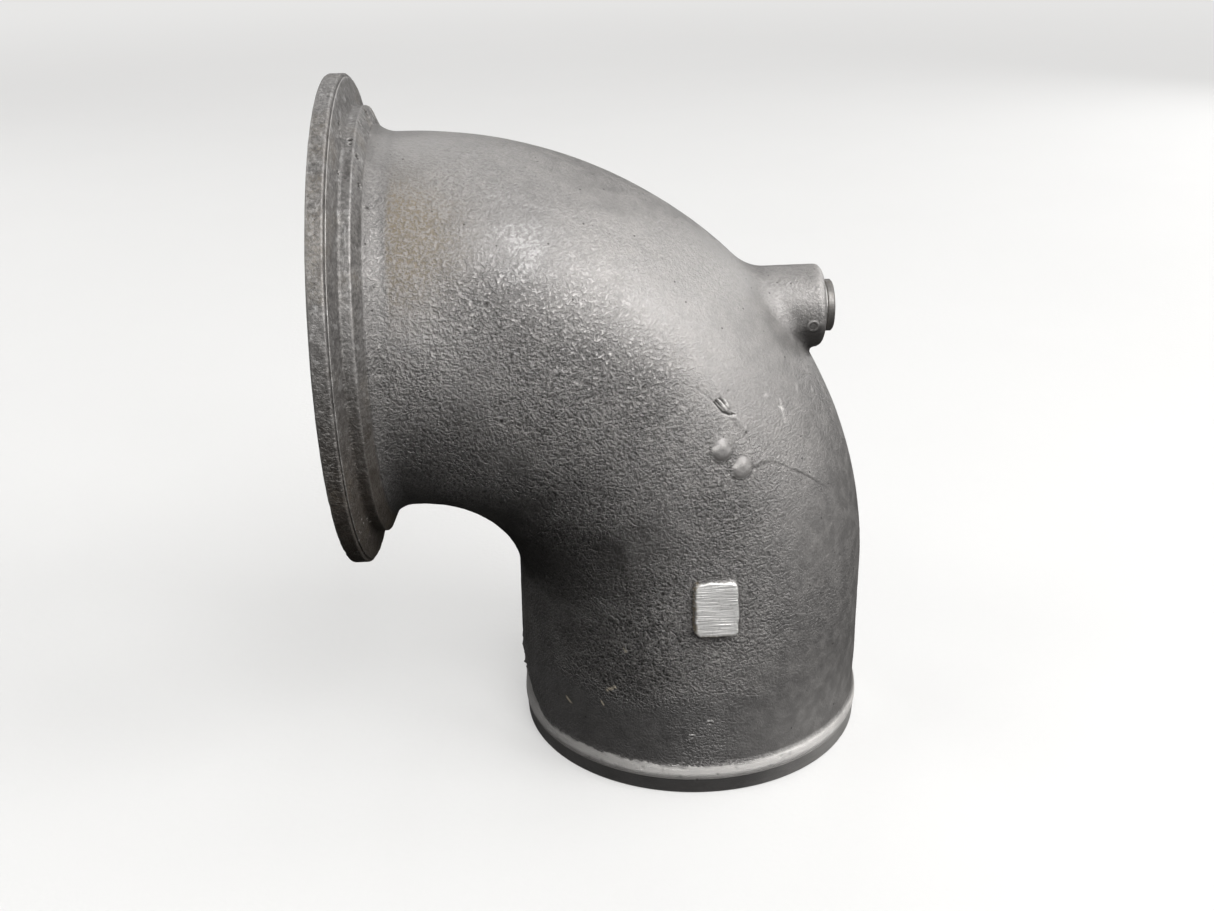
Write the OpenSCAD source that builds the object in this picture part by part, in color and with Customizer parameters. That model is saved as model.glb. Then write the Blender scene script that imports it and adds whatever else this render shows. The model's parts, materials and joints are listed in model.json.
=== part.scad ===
// Cast iron 90 degree pipe elbow with a V-band outlet flange, a machined inlet end
// and a plugged port boss.
// Origin: centre of the inlet end's bottom edge. +Z runs up the inlet leg, the outlet
// flange faces -X, and the port boss points to +X on the outlet axis.

/* [Pipe] */
// Outside diameter of the cast pipe in the bend
pipe_d = 102.6; // [90:0.2:114]
// Outside diameter of the cast pipe just above the machined inlet end
inlet_skin_d = 102; // [89:0.2:113]
// Wall thickness in the bend
wall = 5.8; // [4.5:0.1:8]

/* [Bend] */
// Centreline radius of the bend
bend_r = 77.1; // [70:0.1:90]
// Height of the straight inlet leg
inlet_leg = 50.5; // [40:0.5:90]
// Length from the end of the bend to the outlet face
outlet_leg = 18.9; // [16:0.1:60]

/* [Machined inlet end] */
// Diameter at the bottom edge, the nominal pipe size
spigot_d = 101.6; // [88.9:0.1:114]
// Height of the tapered lead at the bottom
lead_h = 5; // [3:0.1:8]
// Height of the turned land above the lead
land_h = 4.3; // [2:0.1:8]
// Radial height of the land over the bottom edge
land_rise = 0.6; // [0.2:0.1:1.5]

/* [Outlet flange] */
// Outside diameter of the flange rim
flange_d = 134.4; // [126:0.2:150]
// Width of the flange rim
rim_w = 4.4; // [3:0.1:6]
// Depth of the conical clamp seat behind the rim
seat_w = 2.2; // [1.5:0.1:4]
// Width of the flat shoulder below the seat
shoulder_w = 2.9; // [1:0.1:4]

/* [Port boss] */
// Outside diameter of the boss
boss_d = 23.2; // [20:0.2:28]
// Distance from the inlet axis to the boss face
boss_face = 37.2; // [35:0.2:48]
// Radius of the cast fillet above the boss
boss_fillet = 10; // [4:0.5:12]
// Radius of the round on the boss edge
boss_round = 1.8; // [0.5:0.1:2.5]
// Diameter of the port
port_d = 10; // [8:0.5:12]

/* [Plug] */
// Diameter of the plug collar
collar_d = 14.6; // [14:0.2:18]
// Thickness of the plug collar
collar_t = 2; // [1.6:0.1:3]
// Length of the plug below its collar
shank_l = 10; // [7:0.5:12]
// Pitch of the plug thread
thread_pitch = 1; // [0.75:0.25:1.5]
// Width across the flats of the hexagon socket
socket_af = 5; // [3:0.5:5]
// Depth of the hexagon socket
socket_depth = 5; // [3:0.5:6]
// Thickness of the sealing washer
washer_t = 0.9; // [0.5:0.1:1.5]

/* [Cast marks] */
// Width of the raised pad
pad_w = 12.2; // [8:0.2:20]
// Height of the raised pad
pad_h = 18; // [10:0.5:24]
// How far the pad stands out of the pipe
pad_proud = 1.8; // [0.5:0.1:3]
// Diameter of each domed dot
dot_d = 5.6; // [4:0.2:8]

/* [Hidden] */
$fn = 96;

pipe_r = pipe_d / 2;
bore_r = pipe_r - wall;
axis_z = inlet_leg + bend_r;
outer_r = bend_r + pipe_r;
spigot_r = spigot_d / 2;
land_r = spigot_r + land_rise;
land_top = lead_h + land_h;
edge_break = 0.5;
bore_bevel = 1.2;

rim_r = flange_d / 2;
// The shoulder and the root of the flange sit at fixed shares of the flange's height
shoulder_r = pipe_r + 0.465 * (rim_r - pipe_r);
root_r = pipe_r + 0.17 * (rim_r - pipe_r);
root_slope = 2.05;
neck_fillet = 6;

boss_r = boss_d / 2;
port_r = port_d / 2;
// The round above the boss touches both the boss and the outside of the bend
fillet_x = sqrt(pow(outer_r + boss_fillet, 2) - pow(bend_r + boss_r + boss_fillet, 2)) - bend_r;
fillet_turn = asin((bend_r + boss_r + boss_fillet) / (outer_r + boss_fillet));
boss_inner_x = 4;

plug_clearance = 0.05;
plug_r = port_r - plug_clearance;
thread_depth = 0.6 * thread_pitch;
thread_turns = floor((shank_l - 1.5) / thread_pitch);
collar_r = collar_d / 2;
collar_bevel = 0.6;
plug_seat_x = boss_face + washer_t;
washer_inner_r = port_r + 0.1;
washer_outer_r = collar_r - 0.25;
washer_round = 0.2;

pad_x = 1.5;
pad_z = 59.5;
pad_corner = 2.5;
dot_proud = 1.5;
// Place of each dot: angle along the bend, then angle round the pipe from its outer side
dots = [[33.5, 66.5], [29.5, 65.1]];

// Points on an arc in the plane of a profile
function arc(centre, r, from, to, steps = 10) =
    [for (i = [0:steps])
        let (a = from + (to - from) * i / steps)
        [centre[0] + r * cos(a), centre[1] + r * sin(a)]];

// Point at a radius from the pipe's centreline in the bend
function on_bend(r, along, around) =
    let (reach = bend_r + r * cos(around))
    [reach * cos(along) - bend_r, -r * sin(around), inlet_leg + reach * sin(along)];

// Turns a shape built along +Z so that it runs out of the bend towards the outlet
module at_outlet() {
    translate([-bend_r, 0, axis_z])
        rotate([0, -90, 0])
            children();
}

// Turns a shape built along +Z so that it runs out through the boss
module at_port() {
    translate([0, 0, axis_z])
        rotate([0, 90, 0])
            children();
}

// Quarter turn of a round pipe between the two legs
module quarter_bend(r) {
    translate([-bend_r, 0, inlet_leg])
        rotate([90, 0, 0])
            rotate_extrude(angle = 90, $fn = 128)
                translate([bend_r, 0])
                    circle(r = r);
}

// Inlet leg: tapered lead, turned land and the drafted cast pipe above them
module inlet_leg_solid() {
    rotate_extrude($fn = 128)
        polygon([
            [0, 0],
            [spigot_r - edge_break, 0],
            [spigot_r, edge_break],
            [land_r, lead_h],
            [land_r, land_top],
            [inlet_skin_d / 2, land_top],
            [pipe_r, inlet_leg],
            [0, inlet_leg]
        ]);
}

// Outlet neck and V-band flange, from the end of the bend to the outlet face
module outlet_flange_solid() {
    rim_back = outlet_leg - rim_w;
    seat_end = rim_back - seat_w;
    shoulder_end = seat_end - shoulder_w;
    root_z = shoulder_end - root_slope;
    fillet_angle = acos(1 - (root_r - pipe_r) / neck_fillet);
    fillet_z = root_z - neck_fillet * sin(fillet_angle);
    rim_round = 0.9;
    rotate_extrude($fn = 128)
        polygon(concat(
            [[0, 0], [pipe_r, 0]],
            arc([pipe_r + neck_fillet, fillet_z], neck_fillet, 180, 180 - fillet_angle),
            [[shoulder_r, shoulder_end], [shoulder_r, seat_end]],
            arc([rim_r - rim_round, rim_back + rim_round / 2], rim_round, -40, 0, 4),
            [[rim_r, outlet_leg - edge_break], [rim_r - edge_break, outlet_leg], [0, outlet_leg]]
        ));
}

// Boss on the outside of the bend, with the cast fillet that runs up from its root
module boss_solid() {
    at_port()
        rotate_extrude()
            polygon(concat(
                [[0, boss_inner_x]],
                [for (p = arc([fillet_x, boss_r + boss_fillet], boss_fillet, -180 + fillet_turn, -90))
                    [p[1], p[0]]],
                arc([boss_r - boss_round, boss_face - boss_round], boss_round, 0, 90, 6),
                [[0, boss_face]]
            ));
}

// Raised rectangular pad with round corners on the front of the pipe
module cast_pad() {
    depth = pipe_r + pad_proud - bore_r;
    half_w = pad_w / 2 - pad_corner;
    half_h = pad_h / 2 - pad_corner;
    translate([pad_x, -bore_r, pad_z])
        rotate([90, 0, 0]) {
            for (x = [-half_w, half_w])
                for (z = [-half_h, half_h])
                    translate([x, z, 0])
                        cylinder(h = depth, r = pad_corner, $fn = 48);
            translate([-half_w, -pad_h / 2, 0])
                cube([2 * half_w, pad_h, depth]);
            translate([-pad_w / 2, -half_h, 0])
                cube([pad_w, 2 * half_h, depth]);
        }
}

// Two round cast dots that stand out as domes
module cast_dots() {
    dot_r = dot_d / 2;
    ball_r = (pow(dot_r, 2) + pow(dot_proud, 2)) / (2 * dot_proud);
    for (d = dots)
        translate(on_bend(pipe_r + dot_proud - ball_r, d[0], d[1]))
            sphere(r = ball_r, $fn = 48);
}

// Gas path: straight, bend, straight, with a bevel at the outlet face
module gas_path() {
    translate([0, 0, -1])
        cylinder(h = inlet_leg + 1, r = bore_r, $fn = 128);
    quarter_bend(bore_r);
    at_outlet() {
        cylinder(h = outlet_leg + 1, r = bore_r, $fn = 128);
        translate([0, 0, outlet_leg - bore_bevel])
            cylinder(h = 2 * bore_bevel, r1 = bore_r, r2 = bore_r + 2 * bore_bevel, $fn = 128);
    }
}

// Port through the boss into the gas path, with a bevelled mouth
module port_hole() {
    at_port() {
        translate([0, 0, boss_inner_x])
            cylinder(h = boss_face - boss_inner_x + 1, r = port_r);
        translate([0, 0, boss_face - edge_break])
            cylinder(h = 2 * edge_break, r1 = port_r, r2 = port_r + 2 * edge_break);
    }
}

// The casting: one piece of iron with its flange, boss, pad and dots
module elbow_casting() {
    color("dimgray")
        difference() {
            union() {
                inlet_leg_solid();
                quarter_bend(pipe_r);
                at_outlet()
                    outlet_flange_solid();
                boss_solid();
                cast_pad();
                cast_dots();
            }
            gas_path();
            port_hole();
        }
}

// Threaded plug with a collar and a hexagon socket
module port_plug() {
    tip_bevel = 0.6;
    runout = shank_l - thread_turns * thread_pitch;
    color("silver")
        at_port()
            translate([0, 0, plug_seat_x])
                difference() {
                    rotate_extrude()
                        polygon(concat(
                            [[0, -shank_l], [plug_r - tip_bevel, -shank_l]],
                            [for (i = [0:thread_turns - 1], side = [0, 1])
                                [plug_r - side * thread_depth,
                                 -shank_l + tip_bevel + (i + side / 2) * thread_pitch]],
                            [[plug_r, tip_bevel - runout], [plug_r, 0]],
                            [[collar_r, 0], [collar_r, collar_t - collar_bevel]],
                            [[collar_r - collar_bevel, collar_t], [0, collar_t]]
                        ));
                    translate([0, 0, collar_t - socket_depth])
                        cylinder(h = socket_depth + 1, r = socket_af / (2 * cos(30)), $fn = 6);
                }
}

// Flat sealing washer between the boss face and the plug collar
module plug_washer() {
    color("peru")
        at_port()
            translate([0, 0, boss_face])
                rotate_extrude()
                    polygon([
                        [washer_inner_r, 0],
                        [washer_outer_r - washer_round, 0],
                        [washer_outer_r, washer_round],
                        [washer_outer_r, washer_t - washer_round],
                        [washer_outer_r - washer_round, washer_t],
                        [washer_inner_r, washer_t]
                    ]);
}

elbow_casting();
port_plug();
plug_washer();
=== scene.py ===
"""Cast iron pipe elbow with a V-band flange, a turned inlet end and a plugged port.

Everything is in metres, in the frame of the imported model. The casting is one mesh: a closed
sleeve of rows (stations along the pipe, outside and back through the bore) and columns
(angles round the pipe), with the port boss let into its outer side.
"""

import json
import math

import bpy
import numpy as np
from mathutils import Matrix, Vector


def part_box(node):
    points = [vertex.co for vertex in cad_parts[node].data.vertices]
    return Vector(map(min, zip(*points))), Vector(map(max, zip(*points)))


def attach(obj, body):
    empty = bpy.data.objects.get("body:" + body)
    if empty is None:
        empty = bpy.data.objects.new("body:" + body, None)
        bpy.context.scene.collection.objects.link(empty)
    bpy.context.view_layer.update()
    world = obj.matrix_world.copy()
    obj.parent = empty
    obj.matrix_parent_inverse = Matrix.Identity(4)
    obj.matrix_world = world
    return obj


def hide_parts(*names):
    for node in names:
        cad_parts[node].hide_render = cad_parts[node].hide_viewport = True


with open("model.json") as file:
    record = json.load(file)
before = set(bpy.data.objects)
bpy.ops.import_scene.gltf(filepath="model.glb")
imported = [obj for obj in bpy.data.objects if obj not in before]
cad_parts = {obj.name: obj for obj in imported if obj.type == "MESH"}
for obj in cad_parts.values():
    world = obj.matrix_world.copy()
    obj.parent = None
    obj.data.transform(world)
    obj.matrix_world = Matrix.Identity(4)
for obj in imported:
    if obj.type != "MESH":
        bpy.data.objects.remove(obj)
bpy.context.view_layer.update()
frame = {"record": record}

MM = 0.001

# ---------------------------------------------------------------- sizes from the frame

mounts = {m["name"]: m for m in frame["record"]["mounts"]}


def mount_size(name, key):
    return mounts[name]["dims"][key] * MM


AXIS_Z = mounts["outlet_rim"]["pos_m"][2]
OUTLET_X = mounts["outlet_face"]["pos_m"][0]
INLET_LEG = mount_size("inlet_bore", "length_mm")
BORE_R = mount_size("inlet_bore", "r_mm")
LAND_R = mount_size("inlet_land", "r_mm")
LAND_BOTTOM = mounts["inlet_land"]["pos_m"][2] - mount_size("inlet_land", "length_mm") / 2
LAND_TOP = LAND_BOTTOM + mount_size("inlet_land", "length_mm")
RIM_R = mount_size("outlet_rim", "r_mm")
BEND_R = AXIS_Z - INLET_LEG
OUTLET_LEG = -BEND_R - OUTLET_X
WASHER_LOW, WASHER_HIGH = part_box("plug_washer")
PLUG_LOW, PLUG_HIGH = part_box("port_plug")
BOSS_FACE = WASHER_LOW.x
PLUG_SEAT = WASHER_HIGH.x
COLLAR_R = (PLUG_HIGH.y - PLUG_LOW.y) / 2
WASHER_R = (WASHER_HIGH.y - WASHER_LOW.y) / 2

# Sizes of the casting that the record doesn't hold
SPIGOT_R = 50.8 * MM
SKIN_R_INLET = 50.97 * MM
SKIN_R_NECK = 51.6 * MM
ROOT_R = 54.0 * MM
SHOULDER_R = 58.7 * MM
CROWN = 0.25 * MM
LEAD_R = 51.1 * MM
LAND_ROUND = 1.7 * MM
LAND_STEP = 0.5 * MM
BOSS_R = 11.6 * MM
BOSS_ROUND = 2.3 * MM
PORT_R = 5.0 * MM
PORT_BEVEL = 0.5 * MM

# Stations along the centreline: inlet end, start and end of the bend, outlet face
U_BEND = INLET_LEG
U_NECK = INLET_LEG + BEND_R * math.pi / 2
U_END = U_NECK + OUTLET_LEG

# The neck, the outlet face and the outlet's axis in millimetres, the unit of the surface detail
NECK = U_NECK / MM
END = U_END / MM
AXIS = AXIS_Z / MM

# ---------------------------------------------------------------- small maths


def smooth(x, low=0.0, high=1.0):
    """0 below low, 1 above high, with a smooth turn between them."""
    t = np.clip((x - low) / (high - low), 0, 1)
    return t * t * (3 - 2 * t)


def mix(a, b, t):
    return a + (b - a) * t


def bump_at(x, centre, half_width):
    """A round hill of height 1 at centre that reaches 0 at half_width on either side."""
    return smooth(1 - np.abs(x - centre) / half_width)


def hashed(cell, seed):
    """A repeatable pseudo-random number from 0 to 1 for each whole-number cell."""
    n = (cell[..., 0] * 73856093) ^ (cell[..., 1] * 19349663) ^ (cell[..., 2] * 83492791)
    n = (n + seed * 668265263) & 0x7FFFFFFF
    n = (n ^ (n >> 13)) * 1274126177 & 0x7FFFFFFF
    n = (n ^ (n >> 16)) * 1911520717 & 0x7FFFFFFF
    return ((n ^ (n >> 15)) & 0xFFFFFF) / float(0xFFFFFF)


def noise(points, size, seed=0):
    """Smooth noise from -1 to 1 with features about one size across."""
    p = np.asarray(points) / size
    low = np.floor(p).astype(np.int64)
    f = p - low
    w = f * f * f * (f * (f * 6 - 15) + 10)
    total = np.zeros(p.shape[:-1])
    for corner in np.ndindex(2, 2, 2):
        c = np.array(corner)
        share = np.prod(np.where(c == 1, w, 1 - w), axis=-1)
        total += share * hashed(low + c, seed)
    return 2 * total - 1


def fractal(points, size, octaves, seed=0):
    """Noise with finer and weaker layers added."""
    total = 0
    for k in range(octaves):
        total = total + noise(points, size / 2 ** k, seed + 17 * k) / 2 ** k
    return total / (2 - 2 ** (1 - octaves))


def arc_points(centre, r, start, end, count):
    """Points of an arc in the plane of a profile, angles in degrees."""
    a = np.radians(np.linspace(start, end, count))
    return [(centre[0] + r * math.cos(t), centre[1] + r * math.sin(t)) for t in a]


def spaced(start, end, step):
    """Evenly spaced values after start, up to and including end."""
    count = max(1, int(round(abs(end - start) / step)))
    return list(np.linspace(start, end, count + 1)[1:])


# ---------------------------------------------------------------- mesh helpers


class Shell:
    """Collects vertices and faces in arrays and turns them into one mesh."""

    def __init__(self):
        self.points = []
        self.count = 0
        self.quads = []
        self.triangles = []

    def add(self, points):
        """Adds points and returns their indices, in the shape the points came in."""
        points = np.asarray(points, float)
        ids = np.arange(self.count, self.count + points[..., 0].size)
        self.points.append(points.reshape(-1, 3))
        self.count += ids.size
        return ids.reshape(points.shape[:-1])

    def skin(self, ids, keep=None, close_rows=False, close_columns=True):
        """Quads between the rows and columns of a grid of indices."""
        if close_columns:
            ids = np.concatenate([ids, ids[:, :1]], axis=1)
        if close_rows:
            ids = np.concatenate([ids, ids[:1]], axis=0)
        quads = np.stack([ids[:-1, :-1], ids[1:, :-1], ids[1:, 1:], ids[:-1, 1:]], axis=-1)
        if keep is not None:
            quads = quads[keep]
        self.quads.append(quads.reshape(-1, 4))

    def stitch(self, ring_a, angle_a, ring_b, angle_b):
        """Triangles between two closed rings whose points run the same way round."""
        start_b = int(np.argmin(np.abs(np.angle(np.exp(1j * (angle_b - angle_a[0]))))))
        ring_b = np.roll(ring_b, -start_b)
        angle_b = np.roll(angle_b, -start_b)
        turn_a = np.unwrap(np.append(angle_a, angle_a[0])) - angle_a[0]
        turn_b = np.unwrap(np.append(angle_b, angle_b[0])) - angle_b[0]
        i = j = 0
        while i < len(ring_a) or j < len(ring_b):
            step_a = abs(turn_a[i + 1]) if i < len(ring_a) else math.inf
            step_b = abs(turn_b[j + 1]) if j < len(ring_b) else math.inf
            a, b = ring_a[i % len(ring_a)], ring_b[j % len(ring_b)]
            if step_a <= step_b:
                self.triangles.append((a, ring_a[(i + 1) % len(ring_a)], b))
                i += 1
            else:
                self.triangles.append((a, ring_b[(j + 1) % len(ring_b)], b))
                j += 1

    def arrays(self):
        quads = np.concatenate(self.quads)
        triangles = np.array(self.triangles, int).reshape(-1, 3)
        return np.concatenate(self.points), quads, triangles


def gathered(ids, vectors, count):
    """Sum of the vectors that belong to each index."""
    return np.stack([np.bincount(ids, values, count) for values in vectors.T], axis=-1)


def vertex_normals(points, quads, triangles):
    """Area-weighted normal of each vertex."""
    normals = np.zeros_like(points)
    across = np.cross(points[quads[:, 2]] - points[quads[:, 0]],
                      points[quads[:, 3]] - points[quads[:, 1]])
    for k in range(4):
        normals += gathered(quads[:, k], across, len(points))
    if len(triangles):
        across = np.cross(points[triangles[:, 1]] - points[triangles[:, 0]],
                          points[triangles[:, 2]] - points[triangles[:, 0]])
        for k in range(3):
            normals += gathered(triangles[:, k], across, len(points))
    length = np.linalg.norm(normals, axis=1, keepdims=True)
    return normals / np.maximum(length, 1e-12)


def make_object(name, points, quads, triangles, body, node, material, masks=None):
    """A smooth-shaded mesh object that rides on a body and stands for a CAD node."""
    mesh = bpy.data.meshes.new(name)
    corners = np.concatenate([quads.ravel(), triangles.ravel()]).astype(np.int32)
    sizes = np.concatenate([np.full(len(quads), 4), np.full(len(triangles), 3)])
    starts = np.concatenate([[0], np.cumsum(sizes)[:-1]]).astype(np.int32)
    mesh.vertices.add(len(points))
    mesh.vertices.foreach_set("co", points.astype(np.float32).ravel())
    mesh.loops.add(len(corners))
    mesh.loops.foreach_set("vertex_index", corners)
    mesh.polygons.add(len(sizes))
    mesh.polygons.foreach_set("loop_start", starts)
    mesh.update(calc_edges=True)
    mesh.validate()
    mesh.shade_smooth()
    for mask_name, values in (masks or {}).items():
        layer = mesh.attributes.new(mask_name, "FLOAT", "POINT")
        layer.data.foreach_set("value", values.astype(np.float32))
    mesh.materials.append(material)
    piece = bpy.data.objects.new(name, mesh)
    bpy.context.scene.collection.objects.link(piece)
    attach(piece, body)
    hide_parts(node)
    return piece


# ---------------------------------------------------------------- casting: outline


def centreline(u):
    """Point of the pipe's centreline, and the direction to the outside of the bend there."""
    turn = np.clip((u - U_BEND) / BEND_R, 0, math.pi / 2)
    beyond = np.maximum(u - U_NECK, 0)
    centre = np.stack([
        BEND_R * (np.cos(turn) - 1) - beyond,
        np.zeros_like(turn),
        np.minimum(u, U_BEND) + BEND_R * np.sin(turn),
    ], axis=-1)
    outward = np.stack([np.cos(turn), np.zeros_like(turn), np.sin(turn)], axis=-1)
    return centre, outward


def place(u, around, r):
    """Points at a distance r from the centreline; around is 0 on the outside of the bend
    and a quarter turn on the front."""
    centre, outward = centreline(u)
    front = np.array([0.0, -1.0, 0.0])
    return centre + r[..., None] * (np.cos(around)[..., None] * outward
                                    + np.sin(around)[..., None] * front)


def skin_radius(u, around):
    """Radius of the rough cast skin: it swells a little along the bend, and at the inlet it
    sits slightly off the axis of the turned end."""
    swell = smooth(u, U_BEND, U_NECK)
    off_axis = 0.45 * MM * (1 - smooth(u, 25 * MM, 75 * MM))
    waist = 0.28 * MM * (1 - smooth(u, 13 * MM, 26 * MM)) * (0.6 + 0.4 * np.cos(around))
    return mix(SKIN_R_INLET, SKIN_R_NECK, swell) - off_axis * np.cos(around) - waist


def turned_edge_height(around):
    """Height up to which the lathe has cleaned the inlet end. The edge is ragged, and it
    climbs on the inner side, where the skin stands further out."""
    ring = np.stack([50 * np.cos(around), 50 * np.sin(around), np.zeros_like(around)], axis=-1)
    ragged = 0.30 * noise(ring, 2.2, 5) + 0.34 * noise(ring, 0.8, 6)
    ragged *= mix(0.25, 1.0, smooth(np.abs(around), math.radians(72), math.radians(92)))
    climb = 13 * smooth(np.abs(around), math.radians(150), math.radians(178))
    torn = 1.2 * noise(ring, 1.5, 7) * smooth(climb, 0, 3)
    return LAND_TOP + (ragged + climb + torn) * MM


def inlet_radius(u, around):
    """Radius around the top of the turned land, where the cast skin begins."""
    edge = turned_edge_height(around)
    climbed = smooth(edge, LAND_TOP + 1 * MM, LAND_TOP + 5 * MM)
    crown = np.clip((u - LAND_BOTTOM) / (LAND_TOP - LAND_BOTTOM), 0, 1.15)
    turned = LAND_R - CROWN * crown ** 2
    turned = turned - 0.1 * MM * climbed * smooth(u, LAND_TOP, LAND_TOP + 2 * MM)
    front_left = smooth(np.abs(around), math.radians(78), math.radians(90))
    burr = 0.16 * MM * bump_at(u, edge - 0.1 * MM, 0.45 * MM) * front_left
    ring = np.stack([30 * np.cos(around), 30 * np.sin(around), u / MM], axis=-1)
    burr = burr * smooth(noise(ring, 2.0, 9), -0.1, 0.6)
    soften = mix(0.9, 0.1, front_left) * MM
    cast = smooth(u, edge - soften, edge + 0.25 * MM + soften)
    return mix(turned, skin_radius(u, around), cast) + burr


def inlet_rows():
    """Rows (station, radius) of the inlet's face, edge, lead and land."""
    edge = 0.5 * MM
    rows = [(0.0, r) for r in np.linspace(BORE_R + 0.4 * MM, SPIGOT_R - edge, 7)[:-1]]
    rows += [(u, r) for r, u in arc_points((SPIGOT_R - edge, edge), edge, -90, 0, 5)]
    lead = spaced(edge, LAND_BOTTOM - 0.3 * MM, 0.5 * MM)
    slope = (LEAD_R - SPIGOT_R) / (LAND_BOTTOM - edge)
    rows += [(u, SPIGOT_R + slope * (u - edge)) for u in lead]
    rows.append((LAND_BOTTOM - 0.15 * MM, LEAD_R))
    for u in spaced(LAND_BOTTOM - 0.15 * MM, LAND_TOP - 1.2 * MM, 0.3 * MM):
        crown = max(0, (u - LAND_BOTTOM) / (LAND_TOP - LAND_BOTTOM))
        rolled = max(0, 1 - (u - LAND_BOTTOM) / LAND_ROUND) ** 2
        rows.append((u, LAND_R - CROWN * crown ** 2 - LAND_STEP * rolled))
    return rows


def flange_rows():
    """Rows of the neck fillet, root, shoulder, clamp seat, rim and outlet face."""
    u0 = U_NECK
    fillet = 7.5 * MM
    rise = ROOT_R - SKIN_R_NECK
    turn = math.degrees(math.acos(1 - rise / fillet))
    root_u = u0 + 7.4 * MM
    fillet_u = root_u - fillet * math.sin(math.radians(turn))
    shoulder_u = u0 + 9.45 * MM
    seat_u = U_END - 6.6 * MM
    rim_u = U_END - 4.4 * MM
    rows = [(u, SKIN_R_NECK) for u in spaced(u0, fillet_u, 0.5 * MM)]
    rows += arc_points((fillet_u, SKIN_R_NECK + fillet), fillet, -90, -90 + turn, 14)[1:]
    rows += [(mix(root_u, shoulder_u - 0.25 * MM, t), mix(ROOT_R, SHOULDER_R - 0.6 * MM, t))
             for t in np.linspace(0, 1, 10)[1:]]
    rows += arc_points((shoulder_u + 0.35 * MM, SHOULDER_R - 0.6 * MM), 0.6 * MM, 150, 90, 5)[1:]
    foot = 1.1 * MM
    foot_u = seat_u - 0.75 * MM
    rows += [(u, SHOULDER_R) for u in spaced(shoulder_u + 0.35 * MM, foot_u, 0.22 * MM)]
    rows += arc_points((foot_u, SHOULDER_R + foot), foot, -90, -18, 8)[1:]
    cone_u, cone_r = rows[-1]
    lip_r = RIM_R - 1.0 * MM
    rows += [(mix(cone_u, rim_u - 0.5 * MM, t), mix(cone_r, lip_r, t))
             for t in np.linspace(0, 1, 18)[1:]]
    rows += [(rim_u - 0.32 * MM, lip_r + 0.05 * MM), (rim_u - 0.2 * MM, lip_r - 0.2 * MM),
             (rim_u - 0.05 * MM, lip_r + 0.1 * MM), (rim_u + 0.02 * MM, lip_r + 0.45 * MM)]
    rows += arc_points((rim_u + 0.5 * MM, RIM_R - 0.5 * MM), 0.5 * MM, 170, 90, 5)
    rows += [(u, RIM_R) for u in spaced(rim_u + 0.5 * MM, U_END - 0.7 * MM, 0.3 * MM)]
    rows += arc_points((U_END - 0.7 * MM, RIM_R - 0.7 * MM), 0.7 * MM, 90, 0, 6)[1:]
    bevel = 1.2 * MM
    rows += [(U_END, r) for r in spaced(RIM_R - 0.7 * MM, BORE_R + bevel, 1.2 * MM)]
    rows += [(U_END - bevel * t, BORE_R + bevel * (1 - t)) for t in (0.33, 0.66, 1.0)]
    return rows


def bore_rows():
    """Rows of the gas path, back from the outlet to the inlet."""
    return [(u, BORE_R) for u in spaced(U_END - 1.2 * MM, 0.4 * MM, 2.4 * MM)]


def column_angles():
    """Angles round the pipe, closer together on the front, where the cast marks are."""
    wide, fine = 0.62 * MM, 0.36 * MM
    angles = [-math.pi]
    while angles[-1] < math.pi:
        on_front = math.radians(-12) < angles[-1] < math.radians(132)
        angles.append(angles[-1] + (fine if on_front else wide) / SKIN_R_NECK)
    return np.array(angles[:-1])


# ---------------------------------------------------------------- casting: boss and port

PATCH_AROUND = math.radians(22)
PATCH_LOW = math.radians(26.5)
PATCH_HIGH = math.radians(49.5)
BORE_PATCH_AROUND = math.radians(12)
BORE_PATCH_LOW = math.radians(31)
BORE_PATCH_HIGH = math.radians(47)


def side_x(y, z, radius_at):
    """x of the outer side of the bend at y and z; radius_at gives the pipe's radius."""
    r = radius_at(np.full_like(y, 0.6), 0 * y)
    for _ in range(4):
        reach = BEND_R + np.sqrt(np.maximum(r ** 2 - y ** 2, 0))
        x = np.sqrt(np.maximum(reach ** 2 - (z - INLET_LEG) ** 2, 0)) - BEND_R
        turn = np.arctan2(z - INLET_LEG, x + BEND_R)
        r = radius_at(turn, -np.arcsin(y / r))
    return x


def skin_at_turn(turn, around):
    return skin_radius(U_BEND + turn * BEND_R, around)


def bore_at_turn(turn, around):
    return np.full_like(turn, BORE_R)


def patch_ring(ids, rows, columns):
    """Indices round the edge of a rectangular patch of the grid, in order."""
    low, high = rows
    left, right = columns
    return np.concatenate([
        ids[low, left:right],
        ids[low:high, right],
        ids[high, right:left:-1],
        ids[high:low:-1, left],
    ])


def patch_range(values, low, high):
    inside = np.nonzero((values >= low) & (values <= high))[0]
    return int(inside[0]), int(inside[-1])


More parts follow.
